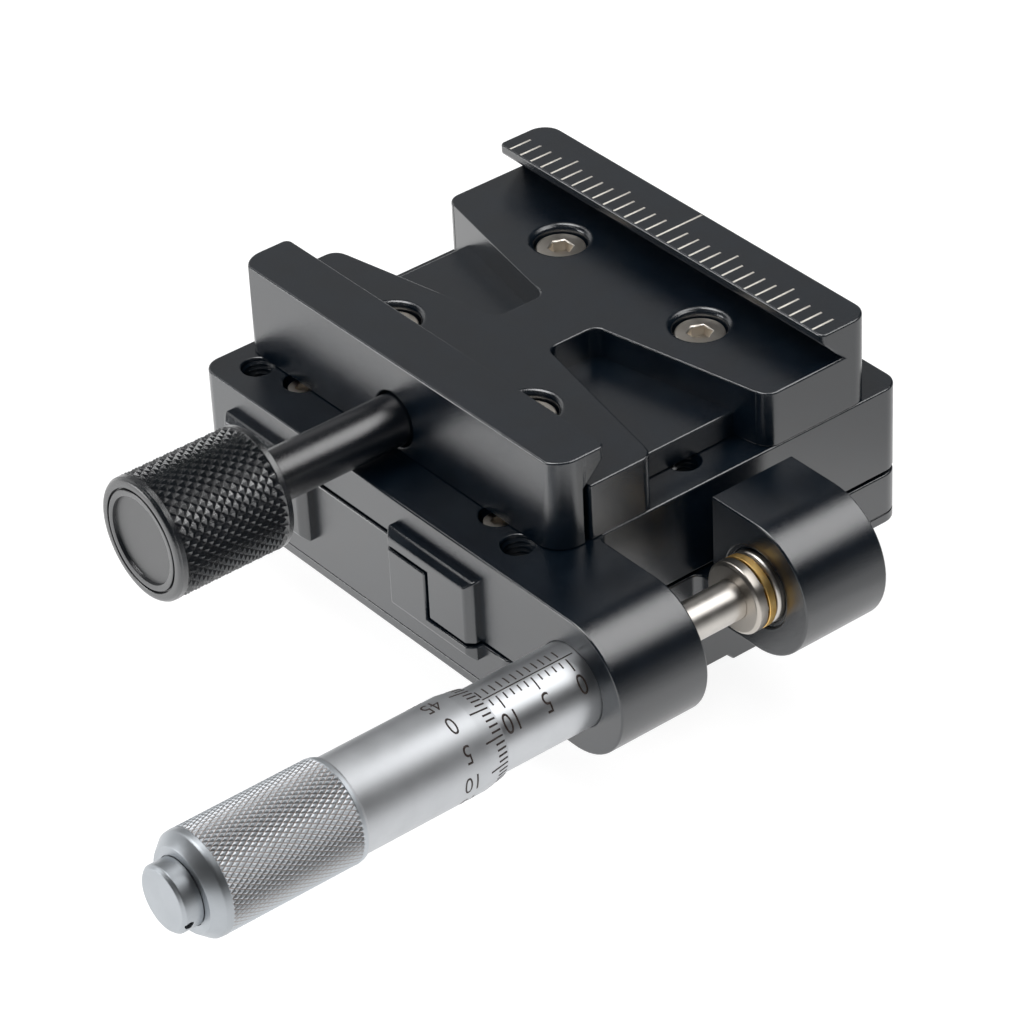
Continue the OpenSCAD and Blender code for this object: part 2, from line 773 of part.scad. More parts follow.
// Brass ring with a hole for each ball
module ball_cage() {
    color("#c89b3c") difference() {
        turned([[spindle_d / 2 + cage_wall_gap, ball_y - ball_cage_t / 2],
            [race_d / 2, ball_y - ball_cage_t / 2], [race_d / 2, ball_y + ball_cage_t / 2],
            [spindle_d / 2 + cage_wall_gap, ball_y + ball_cage_t / 2]], axis_x, axis_z);
        for (k = [0:ball_count - 1]) translate([axis_x, 0, axis_z])
            rotate([0, k * 360 / ball_count, 0])
                bar_y(ball_d + 2 * ball_gap, ball_y - ball_cage_t, ball_y + ball_cage_t,
                    ball_circle, 0);
    }
}

// Balls of the thrust bearing
module thrust_balls() {
    color("#d8d8d4") for (k = [0:ball_count - 1]) translate([axis_x, ball_y, axis_z])
        rotate([0, k * 360 / ball_count, 0]) translate([ball_circle, 0, 0])
            sphere(d = ball_d - ball_gap, $fn = 32);
}

// Side cut-out of the clamp plate, opening toward +X
module notch_plan(reach) {
    a = notch_in_w / 2;
    b = notch_out_w / 2;
    slope = (b - a) / (body_w / 2 - notch_x);
    polygon([[notch_x, -a + notch_r], [notch_x + notch_r, -a],
        [reach, -a - slope * (reach - notch_x)], [reach, a + slope * (reach - notch_x)],
        [notch_x + notch_r, a], [notch_x, a - notch_r]]);
    for (s = [-1, 1]) translate([notch_x + notch_r, s * (a - notch_r)]) circle(r = notch_r);
    // Rounded corners of the mouth
    run = sqrt(1 + slope * slope);
    touch = body_w / 2 - mouth_r + mouth_r * slope / run;
    mouth_y = a + slope * (body_w / 2 - mouth_r - notch_x) + mouth_r * run;
    for (s = [-1, 1]) difference() {
        polygon([[touch, s * (a + slope * (touch - notch_x))], [touch, 0], [reach, 0],
            [reach, s * mouth_y], [body_w / 2 - mouth_r, s * mouth_y]]);
        translate([body_w / 2 - mouth_r, s * mouth_y]) circle(r = mouth_r);
    }
}

// Plan of the clamp plate: round at the back, nearly sharp under the moving jaw
module clamp_plan(l) {
    rounded_plan(body_w, l, clamp_corner_r);
    translate([0, -l / 4]) rounded_plan(body_w, l / 2, clamp_front_r);
}

// Clamp plate with the fixed jaw
module clamp_plate() {
    mid_y = (clamp_y0 + clamp_y1) / 2;
    color("#26282b") difference() {
        intersection() {
            translate([0, mid_y, z_table]) linear_extrude(clamp_t + jaw_h)
                clamp_plan(clamp_y1 - clamp_y0);
            along_x(-body_w / 2, body_w / 2)
                polygon([[clamp_y0, z_table], [clamp_y1, z_table], [clamp_y1, z_jaw],
                    [fixed_lip_y, z_jaw], [fixed_lip_y, z_jaw - lip_h],
                    [fixed_lip_y + undercut, z_clamp], [clamp_y0, z_clamp]]);
        }
        mirrored_sides() {
            // Shallow part of the cut-out
            intersection() {
                translate([0, 0, z_clamp - pocket_h]) linear_extrude(pocket_h + over)
                    notch_plan(body_w / 2 + over);
                span([0, clamp_y0, z_table], [body_w / 2 - pocket_back + over, clamp_y1, z_jaw]);
            }
            // Open part at the side
            intersection() {
                translate([0, 0, z_table - over]) linear_extrude(clamp_t + 2 * over)
                    notch_plan(body_w / 2 + over);
                span([body_w / 2 - pocket_back, clamp_y0, z_table - over],
                    [body_w / 2 + over, clamp_y1, z_jaw]);
            }
        }
        // Rounded ends of the fixed jaw's lip
        mirrored_sides() translate([body_w / 2 - lip_corner_r, fixed_lip_y, z_clamp])
            linear_extrude(jaw_h + over) difference() {
                translate([0, -over]) square([lip_corner_r + over, lip_corner_r + over]);
                translate([0, lip_corner_r]) circle(r = lip_corner_r);
            }
        // Counterbored holes of the plate's screws
        for (sx = [-1, 1], y = clamp_screw_y) translate([sx * clamp_screw_x, y, z_table]) {
            translate([0, 0, clamp_t - clamp_bore_rim])
                cylinder(d1 = clamp_bore_d, d2 = clamp_bore_d + 2 * clamp_bore_rim,
                    h = clamp_bore_rim);
            translate([0, 0, clamp_t])
                cylinder(d = clamp_bore_d + 2 * clamp_bore_rim, h = over);
            translate([0, 0, clamp_t - clamp_head_h - clamp_head_drop])
                cylinder(d = clamp_bore_d, h = clamp_head_h + clamp_head_drop + over);
            translate([0, 0, -over])
                cylinder(d = clamp_screw_d + screw_gap, h = clamp_t + over);
        }
        // Thread of the clamping screw
        bar_y(screw_d + 2 * thread_gap, clamp_y0 - over, clamp_y0 + screw_bore_l, 0, screw_z);
        // Bores of the guide pins and the springs
        mirrored_sides() {
            bar_y(pin_d + 2 * pin_gap, clamp_y0 - over, clamp_y0 + pin_bore_l, pin_x, screw_z);
            bar_y(spring_d + 2 * spring_gap, clamp_y0 - over, clamp_y0 + spring_bore_l,
                spring_x, screw_z);
        }
    }
}

// Screws that hold the clamp plate to the table
module clamp_plate_screws() {
    seat = z_clamp - clamp_head_h - clamp_head_drop;
    color("#b9b4aa") for (sx = [-1, 1], y = clamp_screw_y)
        translate([sx * clamp_screw_x, y, seat])
            socket_screw(clamp_screw_d, clamp_head_d, clamp_head_h,
                seat - (z_table - clamp_thread_l));
}

// Moving jaw
module moving_jaw() {
    front_y = jaw_foot_y;
    color("#26282b") difference() {
        intersection() {
            translate([0, (front_y + jaw_lip_y) / 2, jaw_bottom])
                linear_extrude(z_jaw - jaw_bottom) union() {
                    rounded_plan(body_w, jaw_lip_y - front_y, jaw_corner_r);
                    translate([0, (jaw_lip_y - front_y) / 4])
                        rounded_plan(body_w, (jaw_lip_y - front_y) / 2, jaw_back_r);
                }
            along_x(-body_w / 2, body_w / 2)
                polygon([[jaw_lip_y, z_jaw], [jaw_front_y, z_jaw], [front_y, jaw_bottom],
                    [jaw_back_y, jaw_bottom], [jaw_back_y, z_clamp],
                    [jaw_lip_y, z_jaw - lip_h]]);
        }
        bar_y(shank_d + 2 * shank_gap, front_y - over, shank_end_y, 0, screw_z);
        bar_y(screw_d + 2 * screw_gap, front_y, jaw_back_y + over, 0, screw_z);
        mirrored_sides()
            bar_y(pin_d, jaw_back_y - pin_in, jaw_back_y + over, pin_x, screw_z);
    }
}

// Dowels that keep the moving jaw square
module jaw_guide_pins() {
    color("#c9c4ba") mirrored_sides()
        bar_y(pin_d, jaw_back_y - pin_in, jaw_back_y + pin_out, pin_x, screw_z);
}

// Springs that push the jaw open, as plain tubes of their outer size
module jaw_springs() {
    color("#8f9296") mirrored_sides() difference() {
        bar_y(spring_d, jaw_back_y, clamp_y0 + spring_bore_l - spring_end_gap,
            spring_x, screw_z);
        bar_y(spring_d * spring_core_share, jaw_back_y - over,
            clamp_y0 + spring_bore_l, spring_x, screw_z);
    }
}

// Clamping screw from the knob through the jaw into the clamp plate
module clamping_screw() {
    color("#8f9296") bar_y(screw_d, screw_y0, clamp_y0 + screw_reach, 0, screw_z);
}

// Shank between the knob and the jaw
module knob_shank() {
    color("#1d1f21") difference() {
        bar_y(shank_d, knob_y1, shank_end_y, 0, screw_z);
        bar_y(screw_d, knob_y1 - over, shank_end_y + over, 0, screw_z);
    }
}

// Knob body
module clamp_knob() {
    r = knob_d / 2;
    dish_r = knob_dish_d / 2;
    color("#1d1f21") turned([
        [0, knob_y0 + knob_dish_h], [dish_r, knob_y0 + knob_dish_h], [dish_r, knob_y0],
        [dish_r + knob_ring_w, knob_y0], [dish_r + knob_ring_w, knob_y0 + knob_ring_h],
        [dish_r + 2 * knob_ring_w, knob_y0 + knob_ring_h], [dish_r + 2 * knob_ring_w, knob_y0],
        [r - knob_edge, knob_y0], [r, knob_y0 + knob_edge],
        [r, knob_y1 - knob_edge], [r - knob_edge, knob_y1],
        [screw_d / 2, knob_y1], [screw_d / 2, screw_y0], [0, screw_y0]], 0, screw_z);
}

// Disc let into the knob's end
module knob_disc() {
    color("#232527") bar_y(knob_dish_d - 2 * disc_gap, knob_y0 + knob_dish_h - disc_h,
        knob_y0 + knob_dish_h, 0, screw_z);
}

base_block();
bottom_plate();
dovetail_foot();
foot_screws();
inner_guide_left();
inner_guide_right();
inner_guide_screws();
thrust_washer();
roller_cage_left();
roller_cage_right();
rollers_left();
rollers_right();
table_block();
outer_guide_left();
outer_guide_right();
outer_guide_screws();
micrometer_sleeve();
sleeve_nut();
sleeve_set_screw();
clamp_plate();
clamp_plate_screws();
spindle();
spindle_collar();
thimble();
thimble_cap();
spindle_end_nut();
ball_cage();
thrust_balls();
moving_jaw();
jaw_guide_pins();
jaw_springs();
clamping_screw();
knob_shank();
clamp_knob();
knob_disc();
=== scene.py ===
import json
import math

import bmesh
import bpy
from mathutils import Matrix, Vector


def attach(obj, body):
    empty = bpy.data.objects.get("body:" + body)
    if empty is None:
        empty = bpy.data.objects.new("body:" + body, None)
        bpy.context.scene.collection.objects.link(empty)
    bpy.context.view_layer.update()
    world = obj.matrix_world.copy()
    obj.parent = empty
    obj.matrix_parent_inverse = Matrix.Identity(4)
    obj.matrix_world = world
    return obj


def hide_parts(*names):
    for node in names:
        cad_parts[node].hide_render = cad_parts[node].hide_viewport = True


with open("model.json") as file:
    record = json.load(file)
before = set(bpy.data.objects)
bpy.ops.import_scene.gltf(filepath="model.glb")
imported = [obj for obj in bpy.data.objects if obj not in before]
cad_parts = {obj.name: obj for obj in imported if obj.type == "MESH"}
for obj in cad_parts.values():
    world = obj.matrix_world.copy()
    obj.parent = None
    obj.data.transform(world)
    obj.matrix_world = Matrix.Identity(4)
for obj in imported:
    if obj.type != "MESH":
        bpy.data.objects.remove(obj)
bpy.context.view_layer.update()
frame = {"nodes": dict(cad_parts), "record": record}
nodes = frame["nodes"]
scene = bpy.context.scene
bodyOf = {n: b for b, names in frame["record"]["behaviour"]["bodies"].items() for n in names}
slotOf = {p["node"]: p["material_slot"] for p in frame["record"]["subparts"]}

# Lengths are in mm unless a note says otherwise, and angles in degrees.
mm = 0.001
# points closer than this, in metres, are one point
weld = 1e-6
# the micrometer's axis, along Y, as (x, z)
screwAxis = (40.2, 18.8)

# ---- camera ----
camera = {
    "place": (371.04, -289.96, 339.01), "right": (0.62929, 0.77608, -0.04111),
    "up": (-0.42631, 0.38894, 0.81669), "lens": 165.13, "sensor": 36,
    # in metres
    "clip": (0.02, 20),
}


def makeCamera(values):
    data = bpy.data.cameras.new("camera")
    data.lens = values["lens"]
    data.sensor_fit = "HORIZONTAL"
    data.sensor_width = values["sensor"]
    data.clip_start, data.clip_end = values["clip"]
    made = bpy.data.objects.new("camera", data)
    right = Vector(values["right"]).normalized()
    back = right.cross(Vector(values["up"])).normalized()
    turned = Matrix((right, back.cross(right), back)).transposed().to_4x4()
    made.matrix_world = Matrix.Translation(Vector(values["place"]) * mm) @ turned
    scene.collection.objects.link(made)
    scene.camera = made


makeCamera(camera)
print("camera placed")


# ---- nodes of a material ----
def newMaterial(name, values):
    made = bpy.data.materials.new(name)
    made.use_nodes = True
    tree = made.node_tree
    shader = tree.nodes["Principled BSDF"]
    for socket, value in values.items():
        shader.inputs[socket].default_value = value
    return made, tree, shader


def feed(tree, socket, value):
    # a socket takes a plain number or another node's output
    if isinstance(value, (int, float)):
        socket.default_value = value
    else:
        tree.links.new(value, socket)


def addCoords(tree, kind):
    return tree.nodes.new("ShaderNodeTexCoord").outputs[kind]


def addNoise(tree, scale, detail, stretch=None):
    # object coordinates in metres, so scale is in turns per metre
    place = addCoords(tree, "Object")
    if stretch is not None:
        mapping = tree.nodes.new("ShaderNodeMapping")
        mapping.inputs["Scale"].default_value = stretch
        tree.links.new(place, mapping.inputs["Vector"])
        place = mapping.outputs["Vector"]
    noise = tree.nodes.new("ShaderNodeTexNoise")
    noise.inputs["Scale"].default_value = scale
    noise.inputs["Detail"].default_value = detail
    tree.links.new(place, noise.inputs["Vector"])
    return noise.outputs["Fac"]


def addRange(tree, source, low, high, fromLow, fromHigh):
    span = tree.nodes.new("ShaderNodeMapRange")
    span.inputs["From Min"].default_value = fromLow
    span.inputs["From Max"].default_value = fromHigh
    feed(tree, span.inputs["To Min"], low)
    feed(tree, span.inputs["To Max"], high)
    tree.links.new(source, span.inputs["Value"])
    return span.outputs["Result"]


def addTint(tree, source, first, second):
    mix = tree.nodes.new("ShaderNodeMix")
    mix.data_type = "RGBA"
    mix.inputs["A"].default_value = (*first, 1)
    mix.inputs["B"].default_value = (*second, 1)
    tree.links.new(source, mix.inputs["Factor"])
    return mix.outputs["Result"]


def addBump(tree, source, depth, strength=1.0, before=None):
    bump = tree.nodes.new("ShaderNodeBump")
    bump.inputs["Distance"].default_value = depth * mm
    bump.inputs["Strength"].default_value = strength
    tree.links.new(source, bump.inputs["Height"])
    if before is not None:
        tree.links.new(before, bump.inputs["Normal"])
    return bump.outputs["Normal"]


def addMath(tree, operation, *terms):
    made = tree.nodes.new("ShaderNodeMath")
    made.operation = operation
    for socket, term in zip(made.inputs, terms):
        feed(tree, socket, term)
    return made.outputs[0]


def addDot(tree, vector, towards):
    dot = tree.nodes.new("ShaderNodeVectorMath")
    dot.operation = "DOT_PRODUCT"
    dot.inputs[1].default_value = towards
    tree.links.new(vector, dot.inputs[0])
    return dot.outputs["Value"]


# ---- materials ----
clouds = {"detail": 3.0, "fade": (0.3, 0.7)}


def addClouds(tree, shader, values):
    # colour and roughness drift together in soft clouds
    cloud = addNoise(tree, values["cloud"], clouds["detail"])
    share = addRange(tree, cloud, 0, 1, *clouds["fade"])
    tree.links.new(addTint(tree, share, values["dark"], values["light"]),
                   shader.inputs["Base Color"])
    rough, spread = values["rough"], values["spread"]
    tree.links.new(addRange(tree, cloud, rough - spread, rough + spread, *clouds["fade"]),
                   shader.inputs["Roughness"])


def makeAnodised(name, values):
    made, tree, shader = newMaterial(name, {"IOR": values["ior"], "Metallic": 0.0})
    addClouds(tree, shader, values)
    grain = addNoise(tree, values["grain"], values["grainDetail"])
    tree.links.new(addBump(tree, grain, values["bump"], values["bumpShare"]),
                   shader.inputs["Normal"])
    return made


def makeTurned(name, values):
    # metal with fine rings left by the lathe, across Y
    made, tree, shader = newMaterial(name, {"Metallic": 1.0})
    addClouds(tree, shader, values)
    rings = addNoise(tree, values["rings"], values["ringDetail"], values["ringStretch"])
    grain = addNoise(tree, values["grain"], values["grainDetail"])
    turned = addBump(tree, rings, values["ringDepth"])
    tree.links.new(addBump(tree, grain, values["bump"], before=turned), shader.inputs["Normal"])
    return made


def makeInk(name, values):
    made, tree, shader = newMaterial(name, {"Metallic": 0.0, "IOR": values["ior"]})
    addClouds(tree, shader, values)
    return made


def makeGrooved(name, values):
    # the knurl's colour round Y is darker and browner in the grooves and lighter towards its
    # tips
    made, tree, shader = newMaterial(name, {"Metallic": 1.0, "Roughness": values["rough"]})
    split = tree.nodes.new("ShaderNodeSeparateXYZ")
    tree.links.new(addCoords(tree, "Object"), split.inputs["Vector"])
    squares = []
    for output, middle in zip(("X", "Z"), values["axis"]):
        off = addMath(tree, "SUBTRACT", split.outputs[output], middle * mm)
        squares.append(addMath(tree, "POWER", off, 2))
    radius = addMath(tree, "SQRT", addMath(tree, "ADD", *squares))
    share = addRange(tree, radius, 0, 1, values["low"] * mm, values["high"] * mm)
    tree.links.new(addTint(tree, share, values["dark"], values["light"]),
                   shader.inputs["Base Color"])
    return made


anodised = {
    "ior": 2.05, "dark": (0.001, 0.0036, 0.0075), "light": (0.002, 0.0062, 0.012),
    "rough": 0.2, "spread": 0.015, "cloud": 260,
    "grain": 8500, "grainDetail": 1.0, "bump": 0.032, "bumpShare": 0.6,
}
plateAnodised = dict(anodised, rough=0.23)
knobAnodised = dict(anodised, dark=(0.0022, 0.0035, 0.0055), light=(0.004, 0.006, 0.009),
                    rough=0.24)
blackSteel = dict(anodised, ior=1.9, dark=(0.012, 0.012, 0.013), light=(0.022, 0.022, 0.024),
                  rough=0.3)
matteGrey = dict(anodised, ior=1.9, dark=(0.03, 0.032, 0.034), light=(0.045, 0.046, 0.048),
                 rough=0.42, spread=0.03)

satinChrome = {
    "dark": (0.585, 0.6, 0.62), "light": (0.64, 0.655, 0.675),
    "rough": 0.37, "spread": 0.02, "cloud": 300,
    "rings": 9000, "ringDetail": 2.0, "ringStretch": (0.02, 1.0, 0.02), "ringDepth": 0.0012,
    "grain": 14000, "grainDetail": 2.0, "bump": 0.0015,
}
barrelChrome = dict(satinChrome, rough=0.48)
capChrome = dict(satinChrome, dark=(0.4, 0.425, 0.45), light=(0.45, 0.475, 0.5), rough=0.4)
groundSteel = dict(satinChrome, dark=(0.6, 0.57, 0.53), light=(0.68, 0.65, 0.61), rough=0.33,
                   spread=0.03, cloud=400, rings=12000, ringDepth=0.0008, grain=12000,
                   bump=0.0004)
hardenedSteel = dict(groundSteel, dark=(0.4, 0.39, 0.38), light=(0.5, 0.49, 0.48), rough=0.32)
stainless = dict(groundSteel, dark=(0.74, 0.68, 0.6), light=(0.84, 0.79, 0.72), rough=0.34,
                 spread=0.015)
collarSteel = dict(groundSteel, dark=(0.55, 0.51, 0.46), light=(0.6, 0.56, 0.51), rough=0.3,
                   spread=0.01, cloud=150)
brass = dict(groundSteel, dark=(0.95, 0.58, 0.17), light=(1.0, 0.72, 0.3), rough=0.45, cloud=900)

darkInk = {"ior": 1.45, "dark": (0.022, 0.014, 0.012), "light": (0.04, 0.028, 0.024),
           "rough": 0.45, "spread": 0.04, "cloud": 2600}
paleInk = dict(darkInk, dark=(0.66, 0.62, 0.56), light=(0.8, 0.76, 0.69), rough=0.6)

# the grip's colour goes from dark to light between two radii
grooved = {"axis": screwAxis, "rough": 0.5, "low": 6.285, "high": 6.325,
           "dark": (0.36, 0.3, 0.27), "light": (0.58, 0.61, 0.64)}

materials = {
    "black_anodised": makeAnodised("blackAnodised", anodised),
    "plate_anodised": makeAnodised("plateAnodised", plateAnodised),
    "knob_black": makeAnodised("knobBlack", knobAnodised),
    "black_steel": makeAnodised("blackSteel", blackSteel),
    "knob_disc_grey": makeAnodised("discGrey", matteGrey),
    "satin_chrome": makeTurned("satinChrome", satinChrome),
    "ground_steel": makeTurned("groundSteel", groundSteel),
    "hardened_steel": makeTurned("hardenedSteel", hardenedSteel),
    "stainless_screws": makeTurned("stainless", stainless),
    "cage_brass": makeTurned("brass", brass),
}
barrelMetal = makeTurned("barrelChrome", barrelChrome)
capMetal = makeTurned("capChrome", capChrome)
collarMetal = makeTurned("collarSteel", collarSteel)
gripMetal = makeGrooved("gripMetal", grooved)
scaleInk = makeInk("scaleInk", darkInk)
rulerInk = makeInk("rulerInk", paleInk)
print("materials made")


# ---- helpers for shapes ----
def finishPiece(name, bm, body, material, crease):
    bmesh.ops.remove_doubles(bm, verts=bm.verts, dist=weld)
    bmesh.ops.recalc_face_normals(bm, faces=bm.faces)
    limit = math.radians(crease)
    for face in bm.faces:
        face.smooth = True
    for edge in bm.edges:
        edge.smooth = edge.calc_face_angle(0) < limit
    mesh = bpy.data.meshes.new(name)
    bm.to_mesh(mesh)
    bm.free()
    mesh.materials.append(material)
    made = bpy.data.objects.new(name, mesh)
    scene.collection.objects.link(made)
    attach(made, body)
    return made


def between(first, last, share):
    return first + (last - first) * share


def addGrid(bm, across, along):
    # each point of a grid with its share, 0 to 1, of both sides
    made = bmesh.ops.create_grid(bm, x_segments=across, y_segments=along, size=0.5)["verts"]
    return [(v, v.co.x + 0.5, v.co.y + 0.5) for v in made]


def addChain(bm, places):
    # points joined in a row, as geometry for a spin
    ring = [bm.verts.new([c * mm for c in place]) for place in places]
    return ring + [bm.edges.new(pair) for pair in zip(ring, ring[1:])]


def turnProfile(bm, points, axis, steps):
    # points are (y, radius), spun once round an axis along Y
    chain = addChain(bm, [(axis[0], y, axis[1] + r) for y, r in points])
    bmesh.ops.spin(bm, geom=chain, cent=(axis[0] * mm, 0, axis[1] * mm), axis=(0, 1, 0),
                   dvec=(0, 0, 0), angle=math.tau, steps=steps, use_merge=True)


def onCylinder(axis, radius, phi, y):
    # phi is 0 at the top and grows towards +X
    turn = math.radians(phi)
    x, z = axis[0] + radius * math.sin(turn), axis[1] + radius * math.cos(turn)
    return Vector((x * mm, y * mm, z * mm))


# ---- blocks with broken edges ----
# only edges above a height are broken, where the values give one
blockEdge = {"edge": 0.22, "steps": 3, "angle": 34, "above": -1, "crease": 35, "flat": 0.6}
jawEdge = dict(blockEdge, above=27.9)
headEdge = dict(blockEdge, edge=0.18, steps=2)
smallEdge = dict(blockEdge, edge=0.14, steps=2)
fineEdge = dict(blockEdge, edge=0.08, steps=2)
plainEdge = dict(blockEdge, edge=0)
edgesOf = {
    "base_block": blockEdge, "table_block": blockEdge, "clamp_plate": blockEdge,
    "moving_jaw": jawEdge, "dovetail_foot": blockEdge, "bottom_plate": smallEdge,
    "knob_shank": smallEdge, "foot_screws": smallEdge, "clamp_plate_screws": headEdge,
    "outer_guide_screws": fineEdge, "sleeve_set_screw": fineEdge, "thrust_washer": smallEdge,
    "spindle_collar": fineEdge, "ball_cage": fineEdge, "spindle_end_nut": smallEdge,
    "thimble_cap": fineEdge, "micrometer_sleeve": fineEdge, "spindle": plainEdge,
    "clamping_screw": plainEdge, "thrust_balls": plainEdge, "knob_disc": plainEdge,
    "jaw_guide_pins": plainEdge,
}
ownMetal = {"thimble_cap": capMetal, "spindle_collar": collarMetal}


def dressNode(node, values, material):
    # the node's own shape, its loose triangles joined and its convex edges broken
    bm = bmesh.new()
    bm.from_mesh(nodes[node].data)
    bmesh.ops.remove_doubles(bm, verts=bm.verts, dist=2 * weld)
    bmesh.ops.dissolve_limit(bm, angle_limit=math.radians(values["flat"]), verts=bm.verts,
                             edges=bm.edges)
    weight = bm.edges.layers.float.new("bevel_weight_edge")
    limit = math.radians(values["angle"])
    for edge in bm.edges:
        middle = (edge.verts[0].co.z + edge.verts[1].co.z) / 2
        sharp = edge.is_convex and edge.calc_face_angle(0) > limit
        if sharp and middle > values["above"] * mm:
            edge[weight] = 1
    made = finishPiece(node + "Dressed", bm, bodyOf[node], material,
                       values["crease"])
    if values["edge"] > 0:
        broken = made.modifiers.new("brokenEdges", "BEVEL")
        broken.width = values["edge"] * mm
        broken.segments = values["steps"]
        broken.limit_method = "WEIGHT"
        broken.use_clamp_overlap = False
        # flat faces stay flat in the shading, the broken edges turn between them
        made.modifiers.new("flatFaces", "WEIGHTED_NORMAL").keep_sharp = True
    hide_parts(node)


for node, values in edgesOf.items():
    dressNode(node, values, ownMetal.get(node, materials[slotOf[node]]))
for node in nodes:
    if node not in edgesOf:
        nodes[node].data.materials.clear()
        nodes[node].data.materials.append(materials[slotOf[node]])
print("blocks dressed")


# ---- knurling ----
def knurlEnd(values, last):
    # the grooves run out steeply at both ends
    row = values["rows"] - 1 + values["runOut"] if last else 1 - values["runOut"]
    y = between(values["from"], values["to"], row / values["rows"])
    return y, values["radius"] - values["depth"] * values["endShare"]


def knurl(bm, values):
    # crossing helical grooves: every other grid point is a peak
    around, rows = values["around"] * 2, values["rows"]
    grid = addGrid(bm, around, rows)
    peaks = []
    for v, a, b in grid:
        i, j = round(a * around), round(b * rows)
        inside = 0 < j < rows
        high = inside and (i + j) % 2
        radius = values["radius"] if high else values["radius"] - values["depth"]
        y = between(values["from"], values["to"], j / rows)
        if not inside:
            y, radius = knurlEnd(values, j > 0)
        v.co = onCylinder(values["axis"], radius, 360 * i / around, y)
        if high:
            peaks.append(v)
    bmesh.ops.remove_doubles(bm, verts=[v for v, a, b in grid], dist=weld)
    peaks = [v for v in peaks if v.is_valid]
    tops = set(peaks)
    for face in list(bm.faces):
        # split along the groove, so that each peak stands on a diamond
        low = [v for v in face.verts if v not in tops]
        if len(low) == 2:
            bmesh.utils.face_split(face, low[0], low[1])
    bmesh.ops.bevel(bm, geom=peaks, offset=values["tip"] * mm, offset_type="OFFSET", segments=1,
                    profile=0.5, affect="VERTICES", material=-1)


# ---- clamp knob ----
knob = {
    "axis": (0.0, 31.6), "from": -43.75, "to": -59.15, "radius": 7.8, "depth": 0.42,
    "around": 37, "rows": 21, "tip": 0.05, "endShare": 0.1, "runOut": 0.2, "crease": 30,
    # outlines from the knurl to the axis: the end at the shank, and the end with the disc
    "shankEnd": ((-43.65, 7.7), (-43.5, 7.4), (-43.32, 7.2), (-43.25, 6.95), (-43.25, 3.25),
                 (-44.2, 3.25), (-44.2, 0.0)),
    "discEnd": ((-59.15, 7.72), (-59.25, 7.62), (-59.42, 7.56), (-59.57, 7.42), (-59.64, 7.2),
                (-59.65, 6.95), (-59.65, 6.62), (-59.6, 6.55), (-59.2, 6.5), (-59.15, 6.45),
                (-59.15, 6.35), (-59.2, 6.3), (-59.6, 6.27), (-59.65, 6.2), (-59.65, 5.62),
                (-59.6, 5.52), (-58.75, 5.42), (-58.58, 5.3), (-58.55, 5.1), (-58.55, 0.0)),
}


def makeKnob(values):
    bm = bmesh.new()
    knurl(bm, values)
    for last, outline in ((False, "shankEnd"), (True, "discEnd")):
        turnProfile(bm, [knurlEnd(values, last), *values[outline]], values["axis"],
                    values["around"] * 2)
    made = finishPiece("knobBody", bm, "knob", materials["knob_black"],
                       values["crease"])
    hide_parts("clamp_knob", "knob_disc")


makeKnob(knob)
print("knob made")

# ---- thimble ----
thimble = {
    "axis": screwAxis, "from": -63.75, "to": -82.35, "radius": 6.45, "depth": 0.17,
    "around": 60, "rows": 31, "tip": 0.09, "endShare": 0.1, "runOut": 0.2,
    "crease": 30, "gripCrease": 20, "bore": 5.6, "rim": 6.35, "endBore": 2.5,
    # the barrel's closed outline, and the end's from the knurl to its bore
    "barrel": ((-63.75, 5.3), (-43.5, 5.3), (-43.5, 5.44), (-43.56, 5.5), (-46.34, 5.93),
               (-46.44, 5.95), (-63.3, 5.95), (-63.4, 6.05), (-63.45, 6.25), (-63.75, 6.35),
               (-63.75, 5.3)),
    "end": ((-82.35, 6.4), (-82.7, 6.36), (-82.8, 6.3), (-83.95, 5.35), (-84.08, 5.2),
            (-84.1, 5.05), (-84.1, 4.2), (-83.9, 4.12), (-83.9, 2.5)),
}


def makeThimble(values):
    steps = values["around"] * 2
    first, last = knurlEnd(values, False), knurlEnd(values, True)
    bore, endBore = values["bore"], values["endBore"]

    bm = bmesh.new()
    turnProfile(bm, values["barrel"], values["axis"], steps)
    made = finishPiece("thimbleBarrel", bm, "spindle_group", barrelMetal,
                       values["crease"])
    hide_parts("thimble")

    bm = bmesh.new()
    knurl(bm, values)
    turnProfile(bm, [first, (values["from"], values["rim"]), (values["from"], bore),
                     (last[0], bore), last], values["axis"], steps)
    finishPiece("thimbleGrip", bm, "spindle_group", gripMetal,
                values["gripCrease"])

    bm = bmesh.new()
    turnProfile(bm, [(last[0], endBore), last, *values["end"], (last[0], endBore)],
                values["axis"], steps)
    finishPiece("thimbleEnd", bm, "spindle_group", capMetal, values["crease"])


makeThimble(thimble)
print("thimble made")

# ---- scales ----
# bend is the greatest turn of one step of a mark that lies round a cylinder
ink = {"depth": 0.016, "crease": 60, "bend": 3}
# capitals are this share of the font's size; thin draws the strokes in, as a share of it too
digits = {"capShare": 0.7, "thin": -0.005, "curveSteps": 4, "slice": 0.2}


def finishInk(name, bm, body, material):
    made = finishPiece(name, bm, body, material, ink["crease"])
    layer = made.modifiers.new("inkDepth", "SOLIDIFY")
    layer.thickness = ink["depth"] * mm
    layer.offset = 0


def addArcMark(bm, axis, radii, ys, phis):
    # a thin strip lying on a cylinder or cone
    steps = max(1, math.ceil(abs(phis[1] - phis[0]) / ink["bend"]))
    for v, a, b in addGrid(bm, steps, 1):
        v.co = onCylinder(axis, between(*radii, b), between(*phis, a), between(*ys, b))


